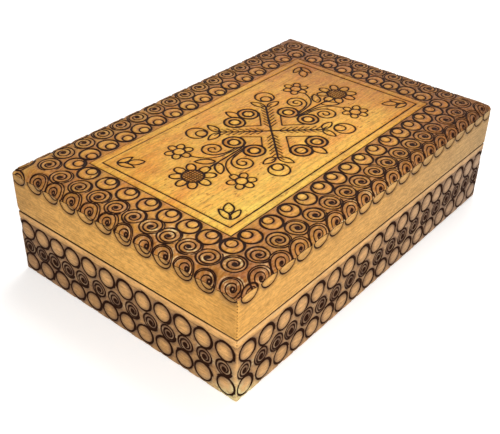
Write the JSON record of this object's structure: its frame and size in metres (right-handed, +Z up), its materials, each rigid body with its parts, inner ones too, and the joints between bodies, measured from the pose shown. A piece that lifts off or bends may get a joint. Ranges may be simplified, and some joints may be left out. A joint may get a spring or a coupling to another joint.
{
  "type": "wooden jewelry box",
  "caption": "Low rectangular wooden jewelry box with mitred walls and a rounded lid that opens on two brass butt hinges at the back.",
  "frame": {"origin": "centre of the flat underside, in the middle of the box's footprint", "axes": "+Z up, +X along the box's long side, -Y towards the plain front, +Y towards the hinges"},
  "size_m": [0.2, 0.131, 0.0566],
  "materials": {
    "lid_wood": "glossy golden varnish over linden wood, with burnt ornament",
    "base_wood": "satin varnish over brown-stained linden wood, with burnt ornament",
    "plain_wood": "plain linden wood",
    "hinge_brass": "satin brass",
    "hinge_pin": "drawn wire"
  },
  "bodies": {
    "base": {"base_front_wall": "base_wood", "base_right_wall": "base_wood", "base_back_wall": "base_wood", "base_left_wall": "base_wood", "base_bottom_panel": "plain_wood", "hinge_left_base_leaf": "hinge_brass", "hinge_left_base_leaf_screw_1": "hinge_brass", "hinge_left_base_leaf_screw_2": "hinge_brass", "hinge_left_pin": "hinge_pin", "hinge_right_base_leaf": "hinge_brass", "hinge_right_base_leaf_screw_1": "hinge_brass", "hinge_right_base_leaf_screw_2": "hinge_brass", "hinge_right_pin": "hinge_pin"},
    "lid": {"lid_front_wall": "lid_wood", "lid_right_wall": "lid_wood", "lid_back_wall": "lid_wood", "lid_left_wall": "lid_wood", "lid_top_panel": "lid_wood", "hinge_left_lid_leaf": "hinge_brass", "hinge_left_lid_leaf_screw_1": "hinge_brass", "hinge_left_lid_leaf_screw_2": "hinge_brass", "hinge_right_lid_leaf": "hinge_brass", "hinge_right_lid_leaf_screw_1": "hinge_brass", "hinge_right_lid_leaf_screw_2": "hinge_brass"}
  },
  "joints": [
    {"name": "lid_hinge", "type": "hinge", "parent": "base", "child": "lid", "pos_m": [0, 0.0643, 0.03285], "axis": [-1, 0, 0], "range_deg": [0, 100]}
  ]
}
